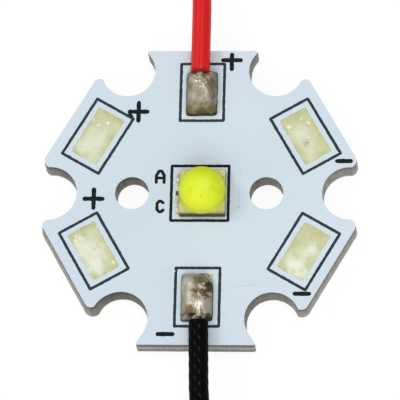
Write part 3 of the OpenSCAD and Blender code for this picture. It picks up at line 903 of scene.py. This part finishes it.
def joint(name, pad, nodes, mat, seed, lead_b, shift, laps, crinkle=0.0, bare=0.0, wide=(0.0, 0.0),
          collar=None):
    """Solder over a pad and its conductor, that laps over the pad's inner and outer ends.

    crinkle is the height of the wrinkles near the lead, bare how much of one inner corner is left free,
    wide what is added to each side."""
    at, angle, depth, length = pad
    rows, cols = 121, 81
    verts = []
    for s, t in spread(rows, cols):
        edge = 1 + 0.03 * wave(seed + 8, s * 2.5 + 9 * (s > 0), t * 3.4) - 0.05 * abs(s * t) ** 7
        narrow = 1 - bare * max(s, 0) * smoothstep(-0.35, -1.0, t)
        a = at + t * (depth / 2 + laps[t > 0]) * edge
        b = shift + s * (length / 2 + wide[s > 0]) * edge * narrow
        z = joint_z(pad, seed, lead_b - shift, at + t * depth / 2, s * length / 2)
        rough = crinkle * smoothstep(-0.35, 0.45, t) * (1 - abs(s) ** 4)
        z += rough * (abs(wave(seed + 12, a * 3.2, b * 3.8)) + 0.5 * wave(seed + 14, a * 7, b * 8))
        verts.append((*turned(a, b, angle), z))
    faces = closed_sheet(verts, rows, cols, PAD_Z)
    if collar:
        start, sides, rings = len(verts), 40, 9
        for i, a in enumerate(np.linspace(*collar, rings)):
            thick = 0.42 - 0.06 * smoothstep(0, 1, i / (rings - 1))
            for c, s in circle(sides):
                r = thick + 0.05 * wave(seed + 20, a * 3, 2 * c, 2 * s)
                verts.append((*turned(a, lead_b + r * c, angle), LEAD_Z - 0.02 + r * s))
        faces += capped_tube(rings, sides, start)
    piece(name, verts, faces, [mat], nodes, sharp=75)


def flux(name, pad, seed, lead_b, shift, drops):
    """Flat hard drops of flux that lie on a joint, as (a, b, half length, half width, height)."""
    rings, segs, sunk = 9, 32, 0.012
    verts, faces = [], []
    for n, (a0, b0, ra, rb, high) in enumerate(drops):
        faces += capped_tube(rings, segs, len(verts))
        for i in range(rings):
            rho = max(i / (rings - 1), 0.02)
            for c, s in circle(segs):
                reach = rho * (1 + 0.6 * wave(seed + 40 + n, 1.6 * c, 1.6 * s))
                a, b = a0 + ra * reach * c, b0 + rb * reach * s
                z = joint_z(pad, seed, lead_b - shift, a, b - shift) - sunk
                z += (high + sunk) * (1 - rho ** 3)
                z += 0.3 * high * wave(seed + 50 + n, a * 6, b * 6) * (1 - rho)
                verts.append((*turned(a, b, pad[1]), z))
    piece(name, verts, faces, [FLUX], sharp=75)


TOP_SOLDER = solder_look(
    "top_solder", (132, 124, 102), (160, 154, 134), (196, 191, 176), (0.0, 7.4, 0.2, 0.75), [
        # The first spot, pale, is a painted highlight; the others are darker spots.
        (-0.5, 6.8, 0.1, 0.5, 0.6, (190, 184, 172)), (0.7, 7.2, 0.2, 0.7, 0.8, (112, 100, 68)),
        (0.2, 6.5, 0.05, 0.5, 0.5, (128, 116, 88)), (0.06, 5.3, 0.25, 0.8, 0.9, (96, 76, 38)),
        (-0.8, 5.55, 0.1, 0.5, 0.9, (128, 102, 50)), (0.75, 5.55, 0.1, 0.55, 0.8, (116, 94, 50))])
LOW_SOLDER = solder_look(
    "bottom_solder", (160, 153, 136), (184, 178, 162), (212, 206, 192), (0.05, -7.8, 0.25, 0.7), [
        (0.25, -6.12, 0.25, 0.7, 1.0, (102, 94, 60)), (0.7, -6.5, 0.2, 0.5, 1.0, (98, 80, 42)),
        (0.52, -6.88, 0.22, 0.48, 1.0, (82, 58, 24)), (-0.08, -6.84, 0.16, 0.44, 1.0, (120, 95, 48)),
        (0.06, -7.2, 0.12, 0.36, 0.8, (134, 127, 102)), (0.9, -6.3, 0.12, 0.45, 1.0, (54, 40, 17)),
        # Painted highlight on the flux:
        (0.35, -6.5, 0.06, 0.24, 0.8, (210, 202, 180)),
        (-0.42, -8.12, 0.22, 0.56, 1.0, (114, 88, 40)), (-0.3, -8.3, 0.08, 0.26, 1.0, (34, 25, 12)),
        (0.9, -8.5, 0.2, 0.46, 1.0, (30, 24, 17)), (0.3, -8.72, 0.26, 0.46, 1.0, (30, 24, 18))])
RED_END, BLACK_END = 8.02, 8.68
joint("red_joint", TINNED_PADS["top"], ["red_solder_joint"], TOP_SOLDER, 101, 0.12, 0.05, (0.09, 0.0),
      crinkle=0.05, wide=(0.055, 0.02))
joint("black_joint", PADS["bottom"], ["black_solder_joint"], LOW_SOLDER, 131, 0.16, -0.05, (0.02, 0.1),
      bare=0.26, wide=(0.0, 0.08), collar=(8.4, BLACK_END + 0.08))
flux("black_joint_flux", PADS["bottom"], 131, 0.16, -0.05, [
    (6.88, 0.52, 0.17, 0.2, 0.035), (6.84, -0.04, 0.13, 0.17, 0.012), (6.2, 0.3, 0.1, 0.22, 0.012),
    (8.3, -0.32, 0.13, 0.14, 0.05)])
dress(TINNED, "red_conductor", "black_conductor")


# LED package


def carrier():
    bm = bmesh.new()
    bmesh.ops.create_cube(bm, size=1.0)
    size = Vector((2 * CARRIER_HALF, 2 * CARRIER_HALF, DIE_Z - CARRIER_Z))
    for v in bm.verts:
        v.co = Vector((LED_X, LED_Y, (CARRIER_Z + DIE_Z) / 2)) + v.co * size
    bmesh.ops.bevel(bm, geom=list(bm.edges), offset=0.035, segments=3, affect="EDGES")
    edges = [e for e in bm.edges if e.calc_length() > 0.3]
    bmesh.ops.subdivide_edges(bm, edges=edges, cuts=12, use_grid_fill=True)
    for v in bm.verts:
        v.co += Vector((1, 1, 1)) * 0.006 * wave(150, *(v.co * 5))
        if v.co.y < LED_Y:
            down = (DIE_Z - v.co.z) / (DIE_Z - CARRIER_Z)
            v.co.y -= CARRIER_DRAFT * smoothstep(-0.7, -1.4, v.co.y - LED_Y) * down
    bm.verts.index_update()
    verts = [tuple(v.co) for v in bm.verts]
    faces = [[v.index for v in f.verts] for f in bm.faces]
    bm.free()
    piece("ceramic_carrier", verts, faces, [CERAMIC], ["led_carrier"], sharp=60)


def dome():
    """The dome with its short skirt, which flows out on the carrier's corners."""
    rows, cols = 44, 96
    verts = []
    profile = [(DOME_R, 0.0, 1.0), (DOME_R, 0.02, 0.6), (DOME_R, 0.05, 0.3), (DOME_R, 0.1, 0.1),
               (DOME_R, DOME_SKIRT * 0.6, 0.0)]
    caps = rows - len(profile)
    for i in range(caps):
        c, s = polar(89.9 * i / (caps - 1))
        profile.append((DOME_R * c, DOME_SKIRT + DOME_R * s, 0.0))
    for bare, z, share in profile:
        for c, s in circle(cols):
            room = (CARRIER_HALF - 0.045) / max(abs(c), abs(s)) - DOME_R
            r = bare + share * min(max(room, 0.03), 0.14)
            grow = 1 + 0.004 * wave(160, r * c * 1.5, r * s * 1.5, z * 1.5)
            verts.append((LED_X + r * grow * c, LED_Y + r * grow * s, DIE_Z + z * grow))
    piece("phosphor_dome", verts, capped_tube(rows, cols), [DOME], ["led_dome"])


def land(name, node, seed):
    """Solder at the left of the LED, rising in a hollow curve from its land to the carrier's side."""
    low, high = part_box(node)
    y0, y1 = low[1] / MM, high[1] / MM
    left, right = LAND_LEFT - 0.02, LED_X - CARRIER_HALF + 0.06
    rows, cols = 41, 17
    verts = []
    for s, t in spread(rows, cols):
        s = (s + 1) / 2
        body = max(1 - abs(t) ** 6, 0.0)
        x, y = left + (right - left) * s, (y0 + y1) / 2 + (y1 - y0) / 2 * t
        rise = 0.025 + 0.2 * s ** 2.2 * (1 + 0.5 * wave(seed, y * 2.2))
        rise += 0.014 * wave(seed + 2, x * 5, y * 5)
        verts.append((x, y, PAD_Z + 0.004 + body * rise))
    piece(name, verts, closed_sheet(verts, rows, cols, COPPER_Z), [LAND], [node], sharp=70)


carrier()
dome()
land("anode_land", "anode_solder", 170)
land("cathode_land", "cathode_solder", 176)
dress(GOLD, "led_anode", "led_cathode", "led_heat_terminal")
dress(CHIP, "led_chip")
dress(LAND, "heat_solder")


# Leads


def run_of(path):
    """Length of a path up to each of its points."""
    return np.concatenate([[0], np.cumsum(np.linalg.norm(np.diff(path, axis=0), axis=1))])


def lead_path(y0, x0, x1, coil_x, step):
    """Centre line from the joint along the board, round the coil and out to the tail, heading +Y.

    The angles are the first bend, where the coil starts, its whole turn, and where in each turn the lead
    starts to cross to its next place in the bundle and how far it takes for that."""
    straight, bend_r, tail = 13, 6.5, 7
    bend, coil_from, coil_turn, cross_from, cross = 60, 240, 1320, 155, 60
    points = []
    for t in np.linspace(0, 1, 13):
        points.append((x0 + (x1 - x0) * t, y0 + (straight - y0) * t, LEAD_Z - 0.02 * t ** 2))
    for t in np.linspace(0, 1, 25)[1:]:
        c, s = polar(bend * t)
        drop = 0.02 + 0.13 * smoothstep(0, 1, t)
        points.append((x1 - bend_r + bend_r * c, straight + bend_r * s, LEAD_Z - drop))
    apart = LEAD_R * math.sqrt(2)
    for i in range(1, coil_turn + 1):
        whole, part = divmod(i + coil_from - cross_from, 360)
        turn = whole + smoothstep(0, cross, part) - 1 if whole else 0.0
        out, up = polar(45 + 90 * turn)
        lift = 0.07 * math.sin(math.pi * (turn % 1)) ** 2
        c, s = polar(coil_from - i)
        r = COIL_R + apart * out
        points.append((coil_x + r * c, COIL_OUT + r * s, BUNDLE_Z + apart * up + lift))
    x, y, z = points[-1]
    for t in np.linspace(0, 1, 15)[1:]:
        points.append((x, y - tail * t, z - 0.175 * smoothstep(0.3, 1, t)))
    smooth = np.array(points)
    for _ in range(6):
        smooth[1:-1] = (smooth[:-2] + 2 * smooth[1:-1] + smooth[2:]) / 4
    run = run_of(smooth)
    at = np.linspace(0, run[-1], int(round(run[-1] / step)) + 1)
    even = np.stack([np.interp(at, run, smooth[:, i]) for i in range(3)], 1)
    rings = (0.0, 0.02, 0.05, END_ROUND)
    first = even[0] + np.outer(rings, (even[1] - even[0]) / step)
    last = even[-1] + np.outer(rings[::-1], (even[-2] - even[-1]) / step)
    return np.concatenate([first, even[1:-1], last])


def across(along):
    """Two directions square to a path's, the first of them level."""
    side = np.cross(along, (0, 0, 1.0))
    side /= np.linalg.norm(side, axis=-1, keepdims=True)
    return side, np.cross(side, along)


def tube(name, path, mat, nodes, sides, radius, ridge=None, height=0.0):
    """A round skin swept along a path. ridge is (count, lay) of the strands that show through it."""
    along = np.gradient(path, axis=0)
    along /= np.linalg.norm(along, axis=1)[:, None]
    side, up = across(along)
    run = run_of(path)
    verts, uvs = [], []
    for i, p in enumerate(path):
        from_end = min(run[i], run[-1] - run[i])
        round_off = 1 - 0.12 * max(0.0, 1 - from_end / END_ROUND) ** 2
        for k, (c, s) in enumerate(circle(sides)):
            r = radius * round_off
            if ridge:
                count, lay = ridge
                phase = math.pi * count * (k / sides - run[i] / lay)
                r += height * (abs(math.cos(phase)) ** 0.8 - 0.8)
            verts.append(tuple(p - r * (s * side[i] + c * up[i])))
            uvs.append((k / sides, run[i]))
    faces = grid_faces(len(path), sides, True)
    for i in (0, len(path) - 1):
        faces += [(i * sides + k, i * sides + (k + 1) % sides, len(verts)) for k in range(sides)]
        verts.append(tuple(path[i]))
        uvs.append((0.5, run[i]))
    return piece(name, verts, faces, [mat], nodes, sharp=60, uvs=uvs)


def strands(name, node, path):
    """Seven twisted strands that run on from the end of a lead."""
    along = path[-1] - path[-3]
    along /= np.linalg.norm(along)
    side, up = across(along)
    r, rows, sides, reach, inside, lay = 0.083, 31, 10, 3.0, 0.3, 5.0
    verts, faces = [], []
    for n in range(7):
        length = reach - 0.25 * abs(wave(190, n * 1.7)) + inside
        faces += capped_tube(rows, sides, len(verts))
        for t in np.linspace(0, 1, rows):
            run = length * t - inside
            c, s = polar(60 * n + 360 * run / lay)
            apart = 0 if n == 6 else 2 * r * (1 + 0.18 * smoothstep(1.6, 3.0, run))
            mid = path[-1] + along * run + apart * (c * side + s * up)
            thick = r * max(1 - max(0.0, (t - 0.97) / 0.03) ** 2, 0.05) ** 0.5
            for c, s in circle(sides):
                verts.append(tuple(mid + thick * (c * side + s * up)))
    return piece(name, verts, faces, [TINNED], [node], sharp=50)


red_path = lead_path(RED_END, -0.12, -0.12, 0.7, 0.3)
red = tube("red_wire", red_path, RED, ["red_lead", "red_coil", "red_tail"], 40, LEAD_R)
black_path = lead_path(BLACK_END, -0.16, -0.28, 0.5, 0.15) * (-1, -1, 1)
black = tube("black_wire", black_path, BLACK,
             ["black_lead", "black_coil", "black_tail"], 63, LEAD_R, BLACK_RIDGE, 0.032)
dress(TIE, "red_tie", "black_tie")
for wire, path, name in ((red, red_path, "red"), (black, black_path, "black")):
    tip = strands(f"{name}_strands", f"{name}_tip", path)


# Floor, light and camera


def floor():
    mesh = bpy.data.meshes.new("floor")
    mesh.from_pydata([(-2, -2, 0), (2, -2, 0), (2, 2, 0), (-2, 2, 0)], [], [(0, 1, 2, 3)])
    look = Look("floor", 0.88, 0.9, specular=0.0)
    path = look.add("LightPath")
    seen = look.math("MAXIMUM", path["Is Camera Ray"],
                     look.math("MAXIMUM", path["Is Glossy Ray"], path["Is Transmission Ray"]))
    glow = look.add("Emission", {"Color": (1, 1, 1, 1), "Strength": 0.92})[0]
    dim = look.add("BsdfDiffuse", {"Color": (0.1, 0.1, 0.1, 1)})[0]
    shown = look.add("AddShader", {0: glow, 1: dim})[0]
    mixed = look.add("MixShader", {0: seen, 1: look.shader.outputs[0], 2: shown})[0]
    look.feed(mixed, look.tree.nodes["Material Output"].inputs["Surface"])
    mesh.materials.append(look.mat)
    placed("floor", mesh)


def lamp(name, at, size, power):
    data = bpy.data.lights.new(name, "AREA")
    data.shape = "RECTANGLE"
    data.size, data.size_y = size
    data.energy = power
    obj = placed(name, data)
    obj.location = at
    obj.rotation_mode = "QUATERNION"
    obj.rotation_quaternion = (-Vector(at)).to_track_quat("-Z", "Y")


def camera():
    """Place and lens that line the board up with the photograph's frame of 400 by 400."""
    azimuth, elevation, roll = polar(13.838), polar(71.652), polar(-13.071)
    distance, right_mm, up_mm, focal_px = 180.0, 0.007, -0.439, 2792.2
    back = Vector((azimuth[1] * elevation[0], -azimuth[0] * elevation[0], elevation[1]))
    right = Vector((*azimuth, 0))
    up = back.cross(right)
    right, up = roll[0] * right + roll[1] * up, roll[0] * up - roll[1] * right
    place = back * distance + right * right_mm + up * up_mm + Vector((0, 0, MASK_Z))
    data = bpy.data.cameras.new("camera")
    data.sensor_width = 36.0
    data.lens = focal_px / 400 * data.sensor_width
    data.clip_start, data.clip_end = 0.01, 10.0
    obj = placed("camera", data)
    turn = Matrix((right, up, back)).transposed().to_4x4()
    obj.matrix_world = Matrix.Translation(place * MM) @ turn
    bpy.context.scene.camera = obj


def world():
    w = bpy.data.worlds.new("studio")
    bpy.context.scene.world = w
    w.use_nodes = True
    inputs = w.node_tree.nodes["Background"].inputs
    inputs["Color"].default_value = (1, 1, 1, 1)
    inputs["Strength"].default_value = 0.45


floor()
world()
lamp("key", (-0.302, 0.104, 0.36), (0.12, 0.1), 0.43)
lamp("fill", (0.084, 0.1, 0.462), (0.1, 0.1), 0.5)
lamp("front", (0.0, -0.3, 0.26), (0.4, 0.2), 0.56)
camera()
bpy.context.scene.view_settings.view_transform = "Standard"
